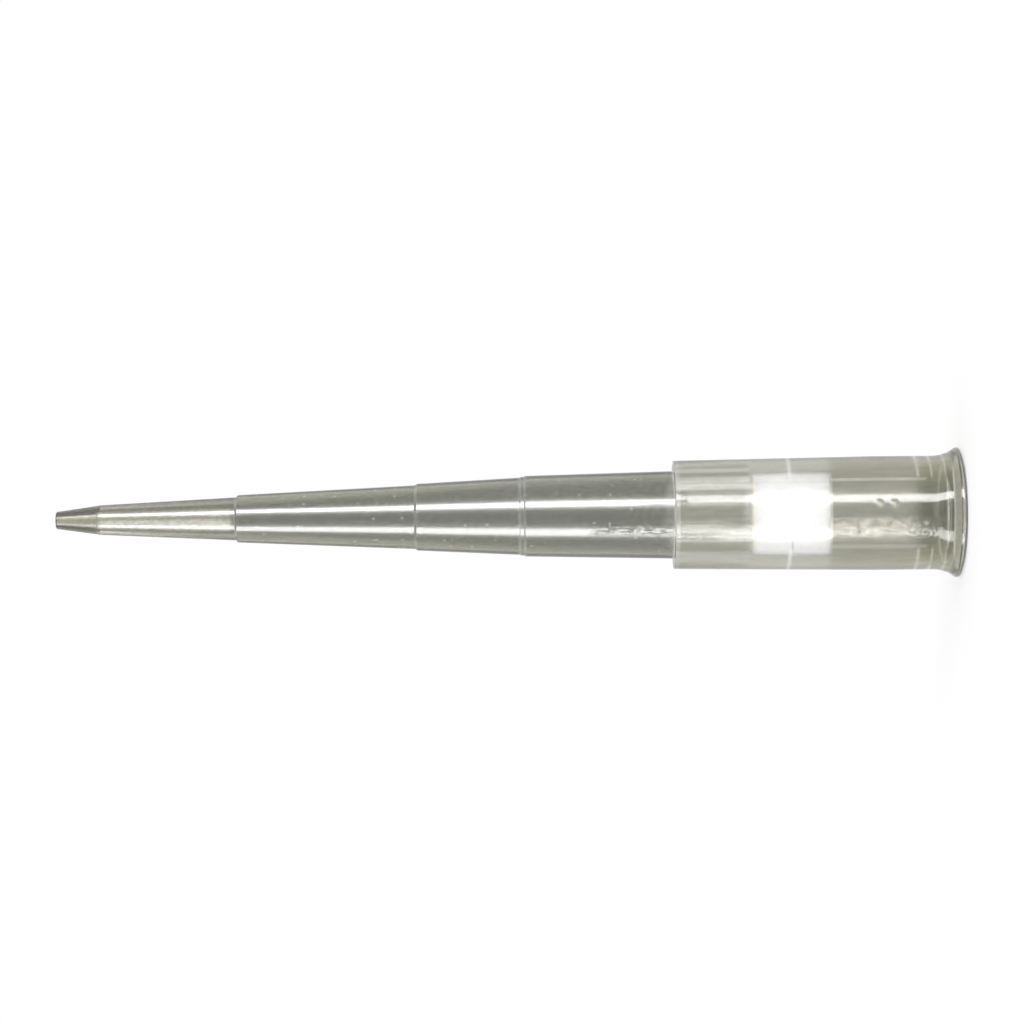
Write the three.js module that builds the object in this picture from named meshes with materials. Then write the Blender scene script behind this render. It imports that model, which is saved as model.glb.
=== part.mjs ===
import * as THREE from 'three';

// A 200 microlitre pipette tip with graduation rings and a filter plug, in millimetres.
// It stands on its mouth: z = 0 is the rim's face, and the axis runs up +Z to the orifice.

// Filter plug
const plugRadius = 2.4;           // where nothing squeezes it
const plugLength = 4.22;
const plugBelowSeat = 1.93;       // how much of it stays on the mouth's side of the seat
const plugEdge = 0.06;            // chamfer round both ends
const plugSqueeze = 0.04;         // how much smaller the bore is than the plug, on the radius
const plugClearance = 0.01;       // between the squeezed plug and the bore's wall
const plugRelease = 0.04;         // between the free plug and the socket's wall

// Nozzle socket, the wide bore behind the mouth
const seatHeight = 9.6;           // where the socket starts to narrow to the plug's bore
const seatLength = 0.4;
const socketRise = 0.29;          // how much the socket widens from the seat to the lead-in
const leadInHeight = 2.5;
const leadInChamfer = 0.35;
const leadInStep = 0.06;
const funnelHeight = 1.92;
const funnelWidth = 0.6;

// Collar round the socket
const collarWall = 0.54;          // beside the socket's wide end
const collarDraft = 0.16;         // how much the collar narrows up to its shoulder
const collarParallel = 5.1;       // height where that narrowing starts
const collarLength = 16.47;

// Rim round the mouth. Each rise is measured outwards from the collar.
const hollowHeight = 1.69;        // where the collar starts to widen
const beadHeight = 1.12;
const beadRise = 0.065;
const beadStep = 0.02;            // how far the bead stands out from the hollow above it
const beadLength = 0.05;
const landHeight = 0.9;           // the land lies between the bead and the flare
const landRise = 0.14;
const flareHeight = 0.77;
const flareRise = 0.165;
const flareSag = 0.02;            // how hollow the flare is in its middle
const bandHeight = 0.38;          // where the flare meets the band round the lip
const bandRise = 0.425;
const lipHeight = 0.22;           // of the lip's widest circle
const lipRadius = 0.12;
const rimOverhang = 0.47;
const faceWidth = 0.06;           // flat ring that the tip stands on, beside the funnel's mouth

// Shank: tapered sections from the shoulder to the point. Each has its length, its outside
// radius at both ends, the wall at its wide end, and the ring that steps down to the next.
// The short second section is the ledge of the widest ring.
const shank = [
  { length: 8.52, wide: 2.515, narrow: 2.316, wall: 0.425, ring: 0.07 },
  { length: 0.22, wide: 2.269, narrow: 2.249, wall: 0.451, ring: 0.04 },
  { length: 5.88, wide: 2.219, narrow: 1.917, wall: 0.41, ring: 0.14 },
  { length: 10.17, wide: 1.829, narrow: 1.361, wall: 0.41, ring: 0.1 },
  { length: 7.89, wide: 1.235, narrow: 0.845, wall: 0.41, ring: 0.06 },
];

// Point, the last cone with the orifice
const pointLength = 2.39;
const pointRadius = 0.822;        // at its wide end
const pointWall = 0.42;
const pointEdge = 0.1;            // rounding round the end
const orificeRadius = 0.24;
const orificeWall = 0.26;

// Facets
const sides = 64;                 // round the axis
const arcSteps = 6;               // along each rounded stretch of a profile

// Bore radii that follow from the plug, and the collar that follows from the bore
const plugBoreRadius = plugRadius - plugSqueeze;
const socketNarrowRadius = plugRadius + plugRelease;
const socketWideRadius = socketNarrowRadius + socketRise;
const leadInRadius = socketWideRadius + leadInStep;
const collarRadius = socketWideRadius + collarWall;
const rimRadius = collarRadius + rimOverhang;

// A point of a profile: its distance from the axis and its height
function at(radius, height) {
  return new THREE.Vector2(radius, height);
}

// Points on a circle between two angles, both ends included
function arc(centre, radius, startAngle, endAngle) {
  const points = [];
  for (let step = 0; step <= arcSteps; step += 1) {
    const angle = THREE.MathUtils.lerp(startAngle, endAngle, step / arcSteps);
    points.push(at(centre.x + radius * Math.cos(angle), centre.y + radius * Math.sin(angle)));
  }
  return points;
}

// Turns a closed profile round the axis and stands the axis along +Z
function turned(name, profile, material) {
  const geometry = new THREE.LatheGeometry([...profile, profile[0]], sides);
  geometry.rotateX(Math.PI / 2);
  const mesh = new THREE.Mesh(geometry, material);
  mesh.name = name;
  return mesh;
}

// Points of a shallow hollow between two points, as deep as the sag in its middle
function bow(start, end, sag) {
  const inward = end.clone().sub(start).normalize().rotateAround(at(0, 0), Math.PI / 2);
  const points = [];
  for (let step = 0; step <= arcSteps; step += 1) {
    const share = step / arcSteps;
    const depth = 4 * sag * share * (1 - share);
    points.push(start.clone().lerp(end, share).addScaledVector(inward, depth));
  }
  return points;
}

// Angle on a circle where a straight line from a point outside it touches, on one of two sides
function touchingAngle(centre, radius, point, side) {
  const reach = point.clone().sub(centre);
  return Math.atan2(reach.y, reach.x) + side * Math.acos(radius / reach.length());
}

// Outside of the mouth: the flat ring, the rounded lip with its band, the hollow flare, the land,
// the bead, and the hollow stretch that meets the collar smoothly
function rimProfile() {
  const face = at(leadInRadius + funnelWidth + faceWidth, 0);
  const lipCentre = at(rimRadius - lipRadius, lipHeight);
  const band = at(collarRadius + bandRise, bandHeight);
  const lipStart = touchingAngle(lipCentre, lipRadius, face, 1);
  const lipEnd = touchingAngle(lipCentre, lipRadius, band, -1);
  const hollowLength = hollowHeight - beadHeight;
  const hollowRadius = (hollowLength ** 2 + beadRise ** 2) / (2 * beadRise);
  const hollowCentre = at(collarRadius + hollowRadius, hollowHeight);
  const hollowAngle = Math.asin(hollowLength / hollowRadius);
  return [
    face,
    ...arc(lipCentre, lipRadius, lipStart, lipEnd),
    ...bow(band, at(collarRadius + flareRise, flareHeight), flareSag),
    at(collarRadius + landRise, landHeight),
    at(collarRadius + beadRise + beadStep, beadHeight - beadLength),
    ...arc(hollowCentre, hollowRadius, Math.PI + hollowAngle, Math.PI),
  ];
}

// Outside of the shank's sections, from the shoulder up, one ring step between each two
function shankProfile() {
  const points = [];
  let height = collarLength;
  for (const section of shank) {
    points.push(at(section.wide, height));
    height += section.length;
    points.push(at(section.narrow, height));
    height += section.ring;
  }
  return points;
}

// Height where the shank ends and the point begins
function pointHeight() {
  return shank.reduce((height, section) => height + section.length + section.ring, collarLength);
}

// Outside of the point, with its end rounded off
function pointProfile() {
  const end = pointHeight() + pointLength;
  const endRadius = orificeRadius + orificeWall;
  return [
    at(pointRadius, pointHeight()),
    ...arc(at(endRadius - pointEdge, end - pointEdge), pointEdge, 0, Math.PI / 2),
  ];
}

// The bore from the orifice down to the socket's seat: the core is smooth past the rings
function boreProfile() {
  const points = [at(plugBoreRadius, seatHeight + seatLength)];
  let height = collarLength;
  for (const section of shank) {
    points.push(at(section.wide - section.wall, height));
    height += section.length + section.ring;
  }
  points.push(at(pointRadius - pointWall, height));
  points.push(at(orificeRadius, height + pointLength));
  return points.reverse();
}

// The socket from its seat down to the mouth, where it opens in a rounded funnel
function socketProfile() {
  const funnelRadius = (funnelHeight ** 2 + funnelWidth ** 2) / (2 * funnelWidth);
  const funnelAngle = Math.asin(funnelHeight / funnelRadius);
  const funnelCentre = at(leadInRadius + funnelRadius, funnelHeight);
  return [
    at(socketNarrowRadius, seatHeight),
    at(socketWideRadius, leadInHeight + leadInChamfer),
    at(leadInRadius, leadInHeight),
    ...arc(funnelCentre, funnelRadius, Math.PI, Math.PI + funnelAngle),
  ];
}

function tipBody() {
  const profile = [
    ...rimProfile(),
    at(collarRadius, collarParallel),
    at(collarRadius - collarDraft, collarLength),
    ...shankProfile(),
    ...pointProfile(),
    ...boreProfile(),
    ...socketProfile(),
  ];
  const material = new THREE.MeshStandardMaterial({
    color: 0xd6d8cb,
    roughness: 0.2,
    metalness: 0,
    transparent: true,
    opacity: 0.45,
  });
  return turned('tip_body', profile, material);
}

// The plug's upper part takes the bore's taper, and its lower part keeps its own radius
function filterPlug() {
  const low = seatHeight - plugBelowSeat;
  const high = low + plugLength;
  const shoulderBore = shank[0].wide - shank[0].wall;
  const seatTop = seatHeight + seatLength;
  const taper = (plugBoreRadius - shoulderBore) / (collarLength - seatTop);
  const highRadius = plugBoreRadius - taper * (high - seatTop) - plugClearance;
  const profile = [
    at(0, low),
    at(plugRadius - plugEdge, low),
    at(plugRadius, low + plugEdge),
    at(plugRadius, seatHeight),
    at(plugBoreRadius - plugClearance, seatTop),
    at(highRadius, high - plugEdge),
    at(highRadius - plugEdge, high),
    at(0, high),
  ];
  const material = new THREE.MeshStandardMaterial({ color: 0xf6f5f0, roughness: 0.9, metalness: 0 });
  return turned('filter_plug', profile, material);
}

const pipetteTip = new THREE.Group();
pipetteTip.add(tipBody());
pipetteTip.add(filterPlug());

export default pipetteTip;
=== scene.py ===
import math

import bmesh
import bpy
from mathutils import Matrix, Vector


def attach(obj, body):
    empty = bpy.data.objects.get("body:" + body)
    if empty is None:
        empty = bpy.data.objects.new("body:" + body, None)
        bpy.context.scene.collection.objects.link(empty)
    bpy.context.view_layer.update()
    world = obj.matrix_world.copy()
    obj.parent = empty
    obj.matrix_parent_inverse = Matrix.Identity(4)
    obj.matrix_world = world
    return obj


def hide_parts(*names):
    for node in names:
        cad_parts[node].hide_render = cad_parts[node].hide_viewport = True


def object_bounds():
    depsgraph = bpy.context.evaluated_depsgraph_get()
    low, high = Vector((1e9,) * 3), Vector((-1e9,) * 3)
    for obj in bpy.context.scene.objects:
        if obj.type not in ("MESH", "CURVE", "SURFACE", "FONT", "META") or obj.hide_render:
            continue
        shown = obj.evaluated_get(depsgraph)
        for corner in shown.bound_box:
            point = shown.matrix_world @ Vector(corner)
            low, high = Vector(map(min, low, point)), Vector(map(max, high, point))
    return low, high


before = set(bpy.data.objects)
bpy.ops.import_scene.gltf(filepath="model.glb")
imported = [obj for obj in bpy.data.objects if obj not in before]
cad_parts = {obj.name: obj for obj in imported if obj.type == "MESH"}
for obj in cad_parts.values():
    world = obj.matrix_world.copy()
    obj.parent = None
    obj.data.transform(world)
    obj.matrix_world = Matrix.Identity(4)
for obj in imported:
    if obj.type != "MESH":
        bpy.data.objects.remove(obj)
cadLow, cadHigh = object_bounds()
mm = 0.001


class Wire:
    # a socket that takes part in arithmetic
    def __init__(self, tree, socket=None):
        self.tree = tree
        self.socket = socket

    def node(self, kind, settings, inputs, output=0):
        made = self.tree.nodes.new("ShaderNode" + kind)
        for name, value in settings.items():
            if name == "stops":
                setStops(made.color_ramp, value)
            else:
                setattr(made, name, value)
        for name, value in inputs.items():
            if isinstance(value, Wire):
                self.tree.links.new(value.socket, made.inputs[name])
            else:
                made.inputs[name].default_value = value
        return Wire(self.tree, made.outputs[output])

    def math(self, operation, *values):
        return self.node("Math", {"operation": operation}, dict(enumerate(values)))

    def __add__(self, other):
        return self.math("ADD", self, other)

    def __sub__(self, other):
        return self.math("SUBTRACT", self, other)

    def __rsub__(self, other):
        return self.math("SUBTRACT", other, self)

    def __mul__(self, other):
        return self.math("MULTIPLY", self, other)

    def __abs__(self):
        return self.math("ABSOLUTE", self)

    __radd__ = __add__
    __rmul__ = __mul__

    def root(self):
        return self.math("SQRT", self)

    def step(self, start, end):
        # 0 before start, 1 after end, smooth between
        return self.node(
            "MapRange",
            {"interpolation_type": "SMOOTHSTEP"},
            {"Value": self, "From Min": start, "From Max": end},
        )

    def line(self, middle, width, core=0.35):
        # 1 at the middle and over the core's share of the width, fading out to 0 at the width
        return 1 - abs(self - middle).step(width * core, width)

    def between(self, low, high, soft):
        # 1 from low to high, with soft ends outside them
        return self.step(low - soft, low) * (1 - self.step(high, high + soft))

    def vector(self, operation, second=(0, 0, 0)):
        return self.node("VectorMath", {"operation": operation}, {0: self, 1: second})

    def axis(self, name):
        return self.node("SeparateXYZ", {}, {0: self}, name)

    def noise(self, scale, detail):
        return self.node("TexNoise", {}, {"Vector": self, "Scale": scale, "Detail": detail}, "Fac")

    def grey(self):
        return self.node("CombineColor", {}, {0: self, 1: self, 2: self})

    def mixColors(self, first, second):
        # first where this value is 0, second where it is 1
        return self.node("Mix", {"data_type": "RGBA"}, {0: self, 6: first, 7: second}, 2)

    def shaded(self, shade):
        # this colour times another
        settings = {"data_type": "RGBA", "blend_type": "MULTIPLY"}
        return self.node("Mix", settings, {0: 1.0, 6: self, 7: shade}, 2)


def setStops(ramp, stops):
    while len(ramp.elements) < len(stops):
        ramp.elements.new(1.0)
    for element, (position, stopColor) in zip(ramp.elements, stops):
        element.position = position
        element.color = stopColor


def color(red, green, blue):
    return (red, green, blue, 1.0)


def newMaterial(name):
    material = bpy.data.materials.new(name)
    material.use_nodes = True
    shader = material.node_tree.nodes["Principled BSDF"]
    return material, shader, Wire(material.node_tree)


def link(wire, shader, name):
    wire.tree.links.new(wire.socket, shader.inputs[name])


def pointInMillimetres(wire):
    return wire.node("TexCoord", {}, {}, "Object").vector("MULTIPLY", (1 / mm, 1 / mm, 1 / mm))


# Camera: level with the middle of the tip, and lying on its side so that the mouth is at the right

view = {
    "distance": 190 * mm,
    "height": 25.75 * mm,
    "aside": 0.249 * mm,
    "frameWidth": 58.87 * mm,
    "sensor": 36,
    "lean": 0.00916,        # radians
}


def makeCamera():
    data = bpy.data.cameras.new("camera")
    data.sensor_width = view["sensor"]
    data.lens = data.sensor_width * view["distance"] / view["frameWidth"]
    camera = bpy.data.objects.new("camera", data)
    bpy.context.collection.objects.link(camera)
    lean = view["lean"]
    right = Vector((-math.sin(lean), 0, -math.cos(lean)))
    up = Vector((math.cos(lean), 0, -math.sin(lean)))
    back = right.cross(up)
    turn = Matrix((right, up, back)).transposed()
    place = Vector((view["aside"], -view["distance"], view["height"]))
    camera.matrix_world = Matrix.Translation(place) @ turn.to_4x4()
    bpy.context.scene.camera = camera
    print("camera")


studio = {
    # each strip's ends are measured along it from the middle of the tip
    "upper": {
        "angle": 31.9, "tilt": -11, "width": 79 * mm,
        "below": 104 * mm, "above": 190 * mm, "radiance": 15,
    },
    "lower": {
        "angle": -45.2, "tilt": 13, "width": 112 * mm,
        "below": 104 * mm, "above": 190 * mm, "radiance": 9,
    },
    "stripDistance": 300 * mm,
    "key": {"place": (350 * mm, -350 * mm, 350 * mm), "width": 300 * mm, "level": 0.15},
    "room": 1.0,
    "floorSize": 3.0,
    "floorGlow": 0.6,
}


def addLamp(name, width, length, energy, placing):
    data = bpy.data.lights.new(name, "AREA")
    data.shape = "RECTANGLE"
    data.size = width
    data.size_y = length
    data.energy = energy
    lamp = bpy.data.objects.new(name, data)
    bpy.context.collection.objects.link(lamp)
    lamp.matrix_world = placing
    print(name)
    return lamp


def makeStrip(name, strip):
    # a long card of light beside the camera, nearly parallel to the tip
    angle = math.radians(strip["angle"])
    back = Vector((math.sin(angle), -math.cos(angle), 0))
    up = Vector((0, 0, 1))
    turn = Matrix((up.cross(back), up, back)).transposed()
    middle = Vector((0, 0, (cadLow.z + cadHigh.z) / 2))
    length = strip["below"] + strip["above"]
    energy = strip["radiance"] * math.pi * strip["width"] * length
    placing = Matrix.Translation(middle + back * studio["stripDistance"]) @ turn.to_4x4()
    placing = placing @ Matrix.Rotation(math.radians(strip["tilt"]), 4, "Z")
    placing = placing @ Matrix.Translation((0, (strip["above"] - strip["below"]) / 2, 0))
    lamp = addLamp(name, strip["width"], length, energy, placing)
    lamp.visible_diffuse = False        # only gloss and clear walls see it


def makeKey(key):
    # the plain soft lamp; its level is what it adds to a white surface that faces it
    place = Vector(key["place"])
    energy = key["level"] * math.pi ** 2 * place.length_squared
    turn = place.to_track_quat("Z", "Y").to_matrix().to_4x4()
    lamp = addLamp("key", key["width"], key["width"], energy, Matrix.Translation(place) @ turn)
    lamp.visible_glossy = False
    lamp.visible_transmission = False


def makeWorld():
    world = bpy.data.worlds.new("studio")
    world.use_nodes = True
    bpy.context.scene.world = world
    background = world.node_tree.nodes["Background"]
    background.inputs["Color"].default_value = color(1, 1, 1)
    background.inputs["Strength"].default_value = studio["room"]
    print("room")


def makeFloor():
    mesh = bpy.data.meshes.new("floor")
    sheet = bmesh.new()
    bmesh.ops.create_grid(sheet, x_segments=1, y_segments=1, size=studio["floorSize"] / 2)
    sheet.to_mesh(mesh)
    sheet.free()
    floor = bpy.data.objects.new("floor", mesh)
    bpy.context.collection.objects.link(floor)
    floor.visible_glossy = False
    floor.visible_transmission = False
    floor.visible_shadow = False
    material, shader, wire = newMaterial("floorWhite")
    shade = 1 - studio["floorGlow"]
    shader.inputs["Base Color"].default_value = color(shade, shade, shade)
    shader.inputs["Emission Color"].default_value = color(1, 1, 1)
    shader.inputs["Emission Strength"].default_value = studio["floorGlow"]
    shader.inputs["Roughness"].default_value = 1.0
    shader.inputs["Specular IOR Level"].default_value = 0.0
    mesh.materials.append(material)
    print("floor")


# Tip body, turned from its section. Sizes are in millimetres, and heights count from the mouth.

tip = {
    "sides": 256, "arcSteps": 12,
    "softEdge": 0.03, "softSteps": 3, "sharpest": 12,        # sharpest turn, in degrees, left as it is
    "plugBore": 2.36, "seatHeight": 9.6, "seatLength": 0.4,
    "socketNarrow": 2.44, "socketWide": 2.73,
    "leadInHeight": 2.5, "leadInChamfer": 0.35, "leadInStep": 0.06,
    "funnelHeight": 1.92, "funnelWidth": 0.6,
    "collarRadius": 3.27, "collarDraft": 0.16, "collarParallel": 5.1, "collarLength": 16.47,
    # the rim's rises are measured outwards from the collar
    "hollowHeight": 1.69,
    "beadHeight": 1.12, "beadRise": 0.065, "beadStep": 0.02, "beadLength": 0.05,
    "landHeight": 0.9, "landRise": 0.14,
    "flareHeight": 0.77, "flareRise": 0.165, "flareSag": 0.02,
    "bandHeight": 0.38, "bandRise": 0.425,
    "lipHeight": 0.22, "lipRadius": 0.12, "rimOverhang": 0.47,
    "faceWidth": 0.06,
    "shank": (
        {"length": 8.52, "wide": 2.515, "narrow": 2.316, "wall": 0.425, "ring": 0.07},
        {"length": 0.22, "wide": 2.269, "narrow": 2.249, "wall": 0.451, "ring": 0.04},
        {"length": 5.88, "wide": 2.219, "narrow": 1.917, "wall": 0.41, "ring": 0.14},
        {"length": 10.17, "wide": 1.829, "narrow": 1.361, "wall": 0.41, "ring": 0.1},
        {"length": 7.89, "wide": 1.235, "narrow": 0.845, "wall": 0.41, "ring": 0.06},
    ),
    "pointLength": 2.39, "pointRadius": 0.822, "pointWall": 0.42, "pointEdge": 0.1,
    "orificeRadius": 0.24, "orificeWall": 0.26,
}


def arc(centre, radius, startAngle, endAngle, steps):
    points = []
    for step in range(steps + 1):
        angle = startAngle + (endAngle - startAngle) * step / steps
        points.append((centre[0] + radius * math.cos(angle), centre[1] + radius * math.sin(angle)))
    return points


def touching(centre, radius, point, side):
    # angle on a circle where a line from a point outside it touches
    across = point[0] - centre[0]
    rise = point[1] - centre[1]
    return math.atan2(rise, across) + side * math.acos(radius / math.hypot(across, rise))


def bow(start, end, sag, steps):
    # a shallow hollow between two points, as deep as the sag in its middle
    across = end[0] - start[0]
    rise = end[1] - start[1]
    length = math.hypot(across, rise)
    points = []
    for step in range(steps + 1):
        share = step / steps
        depth = 4 * sag * share * (1 - share) / length
        points.append((start[0] + across * share - rise * depth, start[1] + rise * share + across * depth))
    return points


def rimSection():
    # from the flat ring of the mouth up: rounded lip, its band, flare, land, bead, hollow, collar
    collar = tip["collarRadius"]
    lip = tip["lipRadius"]
    steps = tip["arcSteps"]
    lipCentre = (collar + tip["rimOverhang"] - lip, tip["lipHeight"])
    face = (tip["socketWide"] + tip["leadInStep"] + tip["funnelWidth"] + tip["faceWidth"], 0)
    band = (collar + tip["bandRise"], tip["bandHeight"])
    flare = (collar + tip["flareRise"], tip["flareHeight"])
    land = (collar + tip["landRise"], tip["landHeight"])
    rise = tip["beadRise"]
    deep = tip["hollowHeight"] - tip["beadHeight"]
    hollow = (deep ** 2 + rise ** 2) / (2 * rise)
    hollowCentre = (collar + hollow, tip["hollowHeight"])
    turn = math.asin(deep / hollow)
    bead = (collar + rise + tip["beadStep"], tip["beadHeight"] - tip["beadLength"])
    return (
        [face]
        + arc(lipCentre, lip, touching(lipCentre, lip, face, 1), touching(lipCentre, lip, band, -1), steps)
        + bow(band, flare, tip["flareSag"], steps)
        + [land, bead]
        + arc(hollowCentre, hollow, math.pi + turn, math.pi, steps)
    )


def bodySection():
    steps = tip["arcSteps"]
    outside = rimSection()
    outside.append((tip["collarRadius"], tip["collarParallel"]))
    outside.append((tip["collarRadius"] - tip["collarDraft"], tip["collarLength"]))
    bore = [(tip["plugBore"], tip["seatHeight"] + tip["seatLength"])]
    height = tip["collarLength"]
    for part in tip["shank"]:
        outside.append((part["wide"], height))
        outside.append((part["narrow"], height + part["length"]))
        bore.append((part["wide"] - part["wall"], height))
        height += part["length"] + part["ring"]
    outside.append((tip["pointRadius"], height))
    bore.append((tip["pointRadius"] - tip["pointWall"], height))
    end = height + tip["pointLength"]
    edge = tip["pointEdge"]
    endRadius = tip["orificeRadius"] + tip["orificeWall"]
    outside += arc((endRadius - edge, end - edge), edge, 0, math.pi / 2, steps // 2)
    bore.append((tip["orificeRadius"], end))
    leadIn = tip["socketWide"] + tip["leadInStep"]
    socket = [
        (tip["socketNarrow"], tip["seatHeight"]),
        (tip["socketWide"], tip["leadInHeight"] + tip["leadInChamfer"]),
        (leadIn, tip["leadInHeight"]),
    ]
    deep = tip["funnelHeight"]
    wide = tip["funnelWidth"]
    funnelRadius = (deep ** 2 + wide ** 2) / (2 * wide)
    turn = math.asin(deep / funnelRadius)
    socket += arc((leadIn + funnelRadius, deep), funnelRadius, math.pi, math.pi + turn, steps)
    return outside + bore[::-1] + socket


def spinSection(section, sides, closed):
    # turns a section of radius and height in millimetres round the Z axis
    shape = bmesh.new()
    points = [shape.verts.new((radius * mm, 0, height * mm)) for radius, height in section]
    ring = points + points[:1] if closed else points
    edges = [shape.edges.new(pair) for pair in zip(ring, ring[1:])]
    bmesh.ops.spin(
        shape, geom=points + edges, cent=(0, 0, 0), axis=(0, 0, 1),
        angle=math.tau, steps=sides, use_merge=True,
    )
    bmesh.ops.remove_doubles(shape, verts=shape.verts, dist=1e-7)        # closes the poles
    bmesh.ops.recalc_face_normals(shape, faces=shape.faces)
    return shape


def softenCorners(shape, width, steps, sharpest):
    # rounds every turned edge where the section has a corner
    corners = [edge for edge in shape.edges if edge.calc_face_angle(0) > math.radians(sharpest)]
    bmesh.ops.bevel(
        shape, geom=corners, offset=width * mm, offset_type="OFFSET", segments=steps,
        affect="EDGES", profile=0.5, material=-1, clamp_overlap=True,
    )


def finishPiece(name, shape, node, materials):
    mesh = bpy.data.meshes.new(name)
    for face in shape.faces:
        face.smooth = True
    shape.to_mesh(mesh)
    shape.free()
    piece = bpy.data.objects.new(name, mesh)
    bpy.context.collection.objects.link(piece)
    for material in materials:
        mesh.materials.append(material)
    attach(piece, "root")
    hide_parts(node)
    print(name, len(mesh.polygons))


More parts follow.
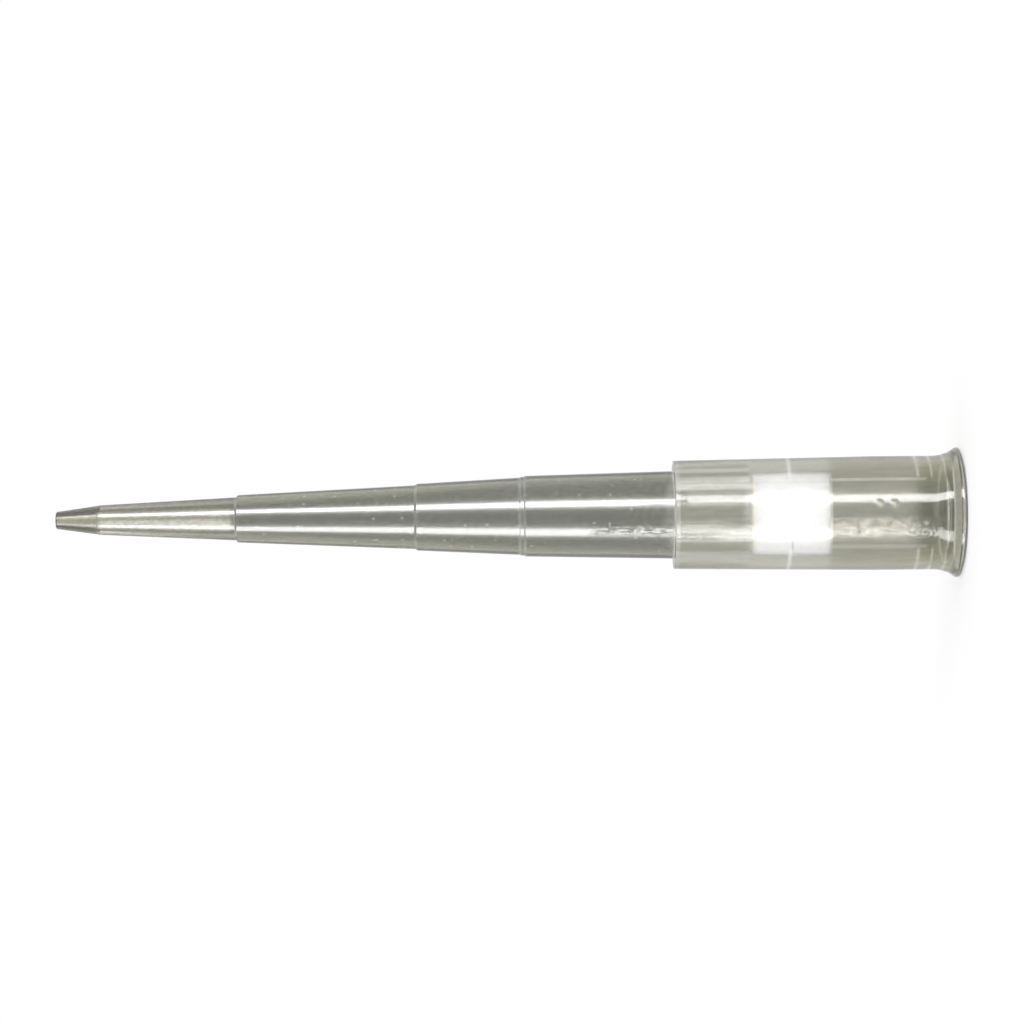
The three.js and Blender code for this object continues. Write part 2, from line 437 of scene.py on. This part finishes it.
plastic = {
    "ior": 1.49,
    "coatRoughness": 0.21, "coatIor": 1.65,
    "coatEdge": (0.5, 0.64),        # how far the wall has turned away where its coat ends
    "coneCoat": 0.3,
    # tint of both sides of the wall in each zone: the plastic's own olive tone, and painted shade that
    # stands in for a darker room seen through the clear walls. Then the outside's painted shade and
    # painted light where the wall turns away: how far it has turned, the shade, and how blue the shade is
    "shank": {
        "outside": color(0.33, 0.325, 0.235), "bore": color(0.47, 0.50, 0.49),
        "turned": ((0.0, 0.78, 1.06), (0.05, 1.0), (0.50, 1.0), (0.60, 2.0), (0.66, 0.4), (0.74, 0.02)),
        "roughness": 0.23,
    },
    "taper": {
        "outside": color(0.24, 0.232, 0.18), "bore": color(0.80, 0.80, 0.70),
        "turned": (
            (0.12, 1.0), (0.2, 0.75), (0.27, 0.75), (0.375, 3.4),
            (0.48, 1.7), (0.6, 1.2), (0.72, 0.2),
        ),
        "roughness": 0.28,
    },
    "cone": {
        "outside": color(0.66, 0.63, 0.48), "bore": color(0.50, 0.50, 0.46),
        "turned": (
            (0.04, 1.15), (0.08, 0.8), (0.13, 0.12), (0.32, 0.12),
            (0.45, 0.5), (0.62, 0.6), (0.75, 0.3),
        ),
    },
    "collar": {
        "outside": color(0.385, 0.38, 0.31), "bore": color(0.94, 0.94, 0.90),
        "turned": (
            (0.0, 0.94, 1.07), (0.08, 1.0, 1.03), (0.25, 1.0), (0.5, 1.3, 0.95),
            (0.64, 1.5, 0.92), (0.76, 0.7), (0.86, 0.2),
        ),
        "roughness": 0.17,
    },
    "mouth": {
        "outside": color(0.175, 0.175, 0.13), "bore": color(0.92, 0.92, 0.84),
        "turned": (
            (0.0, 0.78, 1.08), (0.03, 0.9, 1.06), (0.09, 1.2, 1.03), (0.2, 1.7),
            (0.39, 2.4), (0.56, 3.1), (0.8, 0.9),
        ),
        "roughness": 0.1,
        "top": 3.1, "soft": 1.1,
    },
    "rim": {
        "outside": color(0.11, 0.108, 0.075), "bore": color(0.92, 0.92, 0.84),
        "turned": ((0.2, 1.0), (0.4, 1.5), (0.6, 2.6), (0.8, 2.0)),
        "top": 0.74, "soft": 0.12,
    },
    # where the white plug lies behind the wall: the wall's painted shade is left out there so that the
    # plug shows white, with painted shade towards the plug's sides and on the wall beside it
    "overPlug": {
        "outside": color(1.0, 1.0, 0.995), "bore": color(0.85, 0.85, 0.84),
        "turned": ((0.05, 1.0), (0.10, 0.92), (0.15, 0.80), (0.29, 0.70)),
        # painted shade on the wall beside the plug
        "wall": 0.34,                   # how much darker the wall beside the plug is
        "plugEdge": (0.26, 0.34),       # how far the wall has turned away at the plug's edge
        "below": 0.12, "above": (0.04, 0.42),
    },
    # softness of the ends of the collar, the taper and the cone
    "collarSoft": 0.02, "taperSoft": 0.04, "coneStart": (-0.34, -0.14),
    # tones of the painted light lines, bands and glints below, of the specks, and of the dark marks
    "clearest": color(0.97, 0.96, 0.92),
    "warmest": color(0.95, 0.88, 0.79),
    "darkest": color(0.06, 0.06, 0.04),
    # painted light where an edge that runs round the body gathers light
    "shoulderLine": {"below": 0.08, "width": 0.26, "share": 0.5},
    "ringLine": {"width": 0.13, "share": 0.55},
    "rimLines": (
        {"edge": "lipHeight", "width": 0.10, "share": 1.0},
        {"edge": "flareHeight", "width": 0.12, "share": 0.05},
        {"edge": "beadHeight", "width": 0.10, "share": 0.45},
    ),
    # painted light lines at edges of the bore, shown where the wall has turned away
    "wallLines": (
        {"edge": "seatHeight", "above": 0.36, "width": 0.15, "share": 0.6},
        {"edge": "leadInHeight", "above": 0.2, "width": 0.13, "share": 1.0},
        {"edge": "funnelHeight", "above": 0.0, "width": 0.11, "share": 0.9},
    ),
    "inWall": (0.2, 0.26),
    # painted light bands along the body, which stand in for reflections in the thick wall and for
    # broad highlights, and a few dark lines and marks: angle from the front, half width, lower and upper
    # end
    "paintedLightAndMarks": (
        # under the shoulder
        {"angle": 53.0, "spread": 4.5, "low": 12.4, "high": 16.3, "tone": "clearest", "share": 1.0},
        {"angle": 39.0, "spread": 6.0, "low": 12.4, "high": 16.3, "tone": "clearest", "share": 0.9},
        {"angle": 30.5, "spread": 5.6, "low": 12.2, "high": 16.3, "tone": "clearest", "share": 1.0},
        {"angle": 128.0, "spread": 26.0, "low": 12.2, "high": 16.3, "tone": "clearest", "share": 0.8},
        {"angle": -15.0, "spread": 6.0, "low": 12.2, "high": 16.3, "tone": "clearest", "share": 0.5},
        {"angle": -52.0, "spread": 14.0, "low": 12.4, "high": 16.3, "tone": "clearest", "share": 0.7},
        {"angle": -26.0, "spread": 4.5, "low": 12.2, "high": 16.3, "tone": "clearest", "share": 0.5},
        {"angle": -146.0, "spread": 18.0, "low": 12.2, "high": 16.3, "tone": "clearest", "share": 0.6},
        {"angle": -19.6, "spread": 2.0, "low": 11.8, "high": 13.4, "tone": "clearest", "share": 0.9},
        # between the mouth and the plug
        {"angle": 36.0, "spread": 2.6, "low": 2.4, "high": 7.5, "tone": "clearest", "share": 0.9},
        {
            "angle": -14.0, "spread": 13.0, "low": 3.2, "high": 7.6,
            "tone": "warmest", "share": 0.6, "patchy": 0.9,
        },
        {
            "angle": -157.0, "spread": 16.0, "low": 3.2, "high": 7.6,
            "tone": "warmest", "share": 0.3, "patchy": 0.9,
        },
        {"angle": -35.5, "spread": 3.2, "low": 2.4, "high": 7.5, "tone": "clearest", "share": 0.5},
        # over the plug
        {"angle": -16.0, "spread": 1.4, "low": 7.4, "high": 12.2, "tone": "darkest", "share": 0.12},
        {"angle": 34.0, "spread": 2.6, "low": 7.4, "high": 12.2, "tone": "darkest", "share": 0.1},
        {
            "angle": -36.0, "spread": 9.0, "low": 9.83, "high": 9.87, "soft": 0.06,
            "tone": "darkest", "share": 0.4,
        },
        # along the point
        {"angle": 11.0, "spread": 8.0, "low": 49.6, "high": 51.9, "tone": "warmest", "share": 0.6},
        {"angle": -22.0, "spread": 9.0, "low": 49.6, "high": 51.9, "tone": "warmest", "share": 0.4},
        # along the taper
        {"angle": -164.0, "spread": 18.0, "low": 42.0, "high": 49.4, "tone": "clearest", "share": 0.8},
        {"angle": 18.0, "spread": 17.0, "low": 42.0, "high": 49.4, "tone": "clearest", "share": 0.75},
        {"angle": -17.0, "spread": 26.0, "low": 42.0, "high": 49.4, "tone": "clearest", "share": 1.0},
    ),
    "paintedLightAndMarkSoft": 0.3,
    # noises: what breaks up a patchy mark, then fine streaks, blotches, inclusions and surface grain
    "patches": {"scale": 2.2, "from": 0.4, "to": 0.6},
    "streaks": {"around": 16.0, "along": 0.03, "from": 0.35, "to": 0.65, "share": 0.16},
    "mottle": {"size": 0.15, "along": 0.45, "from": 0.4, "to": 0.62, "shank": 0.3, "collar": 0.1},
    "specks": {"size": 0.42, "radius": 0.26, "empty": (0.80, 0.82), "share": 0.9},
    "grain": {"size": 0.24, "depth": 0.002},
    # where handling has roughened the gloss: angle from the front and height
    "scuffs": (
        {"angle": -19, "spread": 10, "low": 14.8, "high": 20.5, "depth": 0.08},
        {"angle": 19, "spread": 7, "low": 16.6, "high": 17.4, "depth": 0.04},
        {"angle": -17, "spread": 12, "low": 8.5, "high": 14.0, "depth": 0.016},
        {"angle": -15, "spread": 14, "low": 2.3, "high": 7.0, "depth": 0.06},
    ),
    "scuffSoft": 1.2, "scuffCore": 0.4,
    "scratches": {"size": 0.14, "along": 0.3, "from": 0.42, "to": 0.58, "share": 0.9},
    # small blisters in the gloss, with painted light over them; on the smallest ones it is a painted glint
    "blisters": (
        {"angle": 9.0, "height": 4.96, "radius": 0.36, "depth": 0.06, "share": 0.3},
        {"angle": 8.5, "height": 4.12, "radius": 0.40, "depth": 0.065, "share": 0.3},
        {"angle": -10.5, "height": 3.9, "radius": 0.16, "depth": 0.03, "share": 0.9},
        {"angle": -11.5, "height": 3.05, "radius": 0.14, "depth": 0.03, "share": 0.8},
        {"angle": -10.0, "height": 2.3, "radius": 0.17, "depth": 0.03, "share": 0.9},
    ),
}


def ringHeights():
    # the middle of each small step between two parts of the shank
    heights = []
    height = tip["collarLength"]
    for part in tip["shank"][:-1]:
        height += part["length"] + part["ring"]
        heights.append(height - part["ring"] / 2)
    return heights


def pointHeight():
    return tip["collarLength"] + sum(part["length"] + part["ring"] for part in tip["shank"])


def plugEnds():
    low = tip["seatHeight"] - plug["belowSeat"]
    return low, low + plug["length"]


class Place:
    # where a point of the body is, in millimetres and degrees
    def __init__(self, wire):
        self.point = pointInMillimetres(wire)
        self.height = self.point.axis("Z")
        ahead = self.point.axis("Y") * -1
        self.angle = wire.math("ARCTAN2", self.point.axis("X"), ahead) * (180 / math.pi)
        self.facing = wire.node("LayerWeight", {}, {"Blend": 0.5}, "Facing")
        self.inCollar = self.below(tip["collarLength"], plastic["collarSoft"], plastic["collarSoft"])
        self.atMouth = self.below(plastic["mouth"]["top"], plastic["mouth"]["soft"], 0)
        self.atRim = self.below(plastic["rim"]["top"], plastic["rim"]["soft"], 0)
        taper, cone = ringHeights()[-1], pointHeight()
        start, end = plastic["coneStart"]
        self.inTaper = self.height.step(taper, taper + plastic["taperSoft"])
        self.inCone = self.height.step(cone + start, cone + end)
        low, high = plugEnds()
        start, end = plastic["overPlug"]["above"]
        self.byPlug = self.height.step(low - plastic["overPlug"]["below"], low)
        self.byPlug = self.byPlug * (1 - self.height.step(high + start, high + end))

    def below(self, height, softBelow, softAbove):
        return 1 - self.height.step(height - softBelow, height + softAbove)

    def zoned(self, look):
        # the look of each zone of the body, from the collar's mouth to the point
        mixed = self.inCollar.mixColors(look(plastic["shank"]), look(plastic["collar"]))
        mixed = self.atMouth.mixColors(mixed, look(plastic["mouth"]))
        mixed = self.atRim.mixColors(mixed, look(plastic["rim"]))
        mixed = self.inTaper.mixColors(mixed, look(plastic["taper"]))
        return self.inCone.mixColors(mixed, look(plastic["cone"]))

    def turnedShade(self, zone):
        # painted shade and painted light that change with how far the wall turns from the viewer
        stops = []
        for turned, level, *blue in zone["turned"]:
            stops.append((turned, color(level, level, level * (blue[0] if blue else 1))))
        return self.facing.node("ValToRGB", {"stops": stops}, {0: self.facing})


def blisterRise(place, blister):
    # 1 in the middle of a blister, falling to 0 at its edge
    aside = (place.angle - blister["angle"]) * (math.radians(1) * tip["collarRadius"])
    along = place.height - blister["height"]
    return 1 - (aside * aside + along * along).root().step(0, blister["radius"])


def paintedLightAndMarkShare(place, mark):
    # how much of a painted light band or dark mark lies here
    along = place.height.between(mark["low"], mark["high"], mark.get("soft", plastic["paintedLightAndMarkSoft"]))
    share = place.angle.line(mark["angle"], mark["spread"]) * along * mark["share"]
    if "patchy" in mark:
        patches = plastic["patches"]
        noise = place.point.noise(patches["scale"], 3.0)
        share = share * (1 - noise.step(patches["from"], patches["to"]) * mark["patchy"])
    return share


def lineShare(place, line, height):
    return place.height.line(height, line["width"]) * line["share"]


def streakShade(place):
    # fine light and dark streaks that run along the body
    streaks = plastic["streaks"]
    around = place.point.vector("MULTIPLY", (1, 1, 0)).vector("NORMALIZE")
    rise = place.height.node("CombineXYZ", {}, {2: place.height * streaks["along"]})
    lines = around.vector("ADD", rise).noise(streaks["around"], 3.0)
    dark = lines.step(streaks["from"], streaks["to"]) * (1 - place.byPlug)
    return (1 - dark * streaks["share"]).grey()


def mottleShade(place):
    mottle = plastic["mottle"]
    noise = place.point.vector("MULTIPLY", (1, 1, mottle["along"])).noise(1 / mottle["size"], 2.0)
    share = place.inCollar * (mottle["collar"] - mottle["shank"]) + mottle["shank"]
    return (1 - noise.step(mottle["from"], mottle["to"]) * share * (1 - place.byPlug)).grey()


def speckShare(place):
    # small light inclusions in the shank, and only some of the cells have one
    specks = plastic["specks"]
    cells = {"Vector": place.point, "Scale": 1 / specks["size"]}
    away = place.point.node("TexVoronoi", {}, cells, "Distance")
    picked = place.point.node("TexVoronoi", {}, cells, "Color")
    chosen = picked.node("SeparateColor", {}, {0: picked}).step(*specks["empty"])
    near = 1 - away.step(specks["radius"] / 2, specks["radius"])
    return near * chosen * (1 - place.inTaper) * (1 - place.inCollar) * specks["share"]


def outsideTintWithPaintedShading(place):
    # the outside's tint with painted shade and painted light laid over it
    over = plastic["overPlug"]
    tint = place.zoned(lambda zone: zone["outside"])
    tint = tint.shaded(place.zoned(place.turnedShade))
    # painted shade on the wall beside the plug
    tint = tint.shaded((1 - place.byPlug * over["wall"]).grey())
    # over the plug the wall is painted clear, with painted shade towards the plug's sides
    clear = place.turnedShade(over).shaded(over["outside"])
    tint = (place.byPlug * (1 - place.facing.step(*over["plugEdge"]))).mixColors(tint, clear)
    # painted light bands and lines, painted glints and a few dark marks
    marks = [(paintedLightAndMarkShare(place, mark), mark["tone"]) for mark in plastic["paintedLightAndMarks"]]
    shoulder = plastic["shoulderLine"]
    marks.append((lineShare(place, shoulder, tip["collarLength"] - shoulder["below"]), "clearest"))
    for height in ringHeights():
        marks.append((lineShare(place, plastic["ringLine"], height), "clearest"))
    for line in plastic["rimLines"]:
        marks.append((lineShare(place, line, tip[line["edge"]]), "clearest"))
    # painted light over each blister, and a painted glint on the small ones
    for blister in plastic["blisters"]:
        marks.append((blisterRise(place, blister) * blister["share"], "clearest"))
    # painted light lines at the bore's edges, only where the wall turns away
    inWall = place.facing.step(*plastic["inWall"])
    for line in plastic["wallLines"]:
        height = tip[line["edge"]] + line["above"]
        marks.append((lineShare(place, line, height) * inWall, "clearest"))
    for share, tone in marks:
        tint = share.mixColors(tint, plastic[tone])
    tint = tint.shaded(mottleShade(place)).shaded(streakShade(place))
    return speckShare(place).mixColors(tint, plastic["clearest"])


def boreTintWithPaintedShade(place):
    # the bore's tint in each zone, with its painted shade, and another over the plug
    tint = place.zoned(lambda zone: zone["bore"])
    return place.byPlug.mixColors(tint, plastic["overPlug"]["bore"])


def zonedRoughness(place):
    names = ("shank", "collar", "taper", "mouth")
    shank, collar, taper, mouth = [plastic[name]["roughness"] for name in names]
    rough = place.inCollar * (collar - shank) + shank
    return place.inTaper * (taper - shank) + place.atMouth * (mouth - collar) + rough


def scuffShare(place, scuff):
    along = place.height.between(scuff["low"], scuff["high"], plastic["scuffSoft"])
    return along * place.angle.line(scuff["angle"], scuff["spread"], plastic["scuffCore"])


def coatShare(place):
    # the gloss over the shank, which breaks up where it is scuffed
    scratches = plastic["scratches"]
    noise = place.point.vector("MULTIPLY", (1, 1, scratches["along"])).noise(1 / scratches["size"], 3.0)
    worn = noise.step(scratches["from"], scratches["to"])
    worn = worn * scuffShare(place, plastic["scuffs"][0]) * scratches["share"]
    coat = (1 - place.inCollar) * (1 - place.facing.step(*plastic["coatEdge"])) * (1 - worn)
    return coat * (1 - place.inCone * (1 - plastic["coneCoat"]))


def outsideBump(place):
    grain = plastic["grain"]
    depth = grain["depth"]
    for scuff in plastic["scuffs"]:
        depth = scuffShare(place, scuff) * scuff["depth"] + depth
    surface = place.point.noise(1 / grain["size"], 2.0) * depth
    for blister in plastic["blisters"]:
        surface = surface + blisterRise(place, blister) * blister["depth"]
    return surface.node("Bump", {}, {"Height": surface, "Distance": mm, "Strength": 1.0}, "Normal")


def clearPlastic(name):
    material, shader, wire = newMaterial(name)
    place = Place(wire)
    link(zonedRoughness(place), shader, "Roughness")
    shader.inputs["IOR"].default_value = plastic["ior"]
    shader.inputs["Transmission Weight"].default_value = 1.0
    return material, shader, place


def outsidePlastic():
    material, shader, place = clearPlastic("clearPolypropyleneOutside")
    link(outsideTintWithPaintedShading(place), shader, "Base Color")
    link(coatShare(place), shader, "Coat Weight")
    link(outsideBump(place), shader, "Normal")
    shader.inputs["Coat Roughness"].default_value = plastic["coatRoughness"]
    shader.inputs["Coat IOR"].default_value = plastic["coatIor"]
    return material


def borePlastic():
    material, shader, place = clearPlastic("clearPolypropyleneBore")
    link(boreTintWithPaintedShade(place), shader, "Base Color")
    return material


def makeBody():
    shape = spinSection(bodySection(), tip["sides"], True)
    softenCorners(shape, tip["softEdge"], tip["softSteps"], tip["sharpest"])
    for face in shape.faces:
        # faces that look at the axis are the bore's
        middle = face.calc_center_median()
        face.material_index = 1 if face.normal.x * middle.x + face.normal.y * middle.y < 0 else 0
    finishPiece("tipBody", shape, "tip_body", [outsidePlastic(), borePlastic()])


# Filter plug, squeezed above its seat

plug = {"sides": 192, "radius": 2.4, "length": 4.22, "belowSeat": 1.93, "edge": 0.06, "squeeze": 0.05}

pores = {
    "size": 0.2, "depth": 0.02, "glow": 1.2 * mm, "roughness": 0.9, "subsurface": 0.6,
    "light": color(0.95, 0.95, 0.94), "dark": color(0.88, 0.88, 0.87), "from": 0.35, "to": 0.8,
    # painted glow at the plug's upper end, which stands in for light that comes through the plug and out
    # there, and how deep the glowing end is
    "endLight": color(0.40, 0.38, 0.30), "endDepth": (0.05, 0.01),
}


def plugSection():
    low, high = plugEnds()
    seatTop = tip["seatHeight"] + tip["seatLength"]
    shank = tip["shank"][0]
    slope = (tip["plugBore"] - shank["wide"] + shank["wall"]) / (tip["collarLength"] - seatTop)
    squeezed = plug["radius"] - plug["squeeze"]
    highRadius = squeezed - slope * (high - seatTop)
    edge = plug["edge"]
    return [
        (0, low),
        (plug["radius"] - edge, low),
        (plug["radius"], low + edge),
        (plug["radius"], tip["seatHeight"]),
        (squeezed, seatTop),
        (highRadius, high - edge),
        (highRadius - edge, high),
        (0, high),
    ]


def porousWhite():
    # beads pressed together, with darker pores between them
    material, shader, wire = newMaterial("porousPolyethylene")
    point = pointInMillimetres(wire)
    cells = {"Vector": point, "Scale": 1 / pores["size"]}
    beads = wire.node("TexVoronoi", {"feature": "SMOOTH_F1"}, cells, "Distance")
    tint = beads.step(pores["from"], pores["to"]).mixColors(pores["light"], pores["dark"])
    link(tint, shader, "Base Color")
    heights = {"Height": beads * -pores["depth"], "Distance": mm, "Strength": 1.0}
    link(wire.node("Bump", {}, heights, "Normal"), shader, "Normal")
    # the upper end glows: painted light
    start, end = pores["endDepth"]
    high = plugEnds()[1]
    atEnd = point.axis("Z").step(high - start, high - end)
    link(atEnd.mixColors(color(0, 0, 0), pores["endLight"]), shader, "Emission Color")
    shader.inputs["Emission Strength"].default_value = 1.0
    shader.inputs["Roughness"].default_value = pores["roughness"]
    shader.inputs["Subsurface Weight"].default_value = pores["subsurface"]
    shader.inputs["Subsurface Radius"].default_value = (1, 1, 1)
    shader.inputs["Subsurface Scale"].default_value = pores["glow"]
    return material


def makePlug():
    shape = spinSection(plugSection(), plug["sides"], False)
    finishPiece("filterPlug", shape, "filter_plug", [porousWhite()])


makeCamera()
makeWorld()
makeStrip("upperStrip", studio["upper"])
makeStrip("lowerStrip", studio["lower"])
makeKey(studio["key"])
makeFloor()
makeBody()
makePlug()

bpy.context.scene.view_settings.view_transform = "Standard"
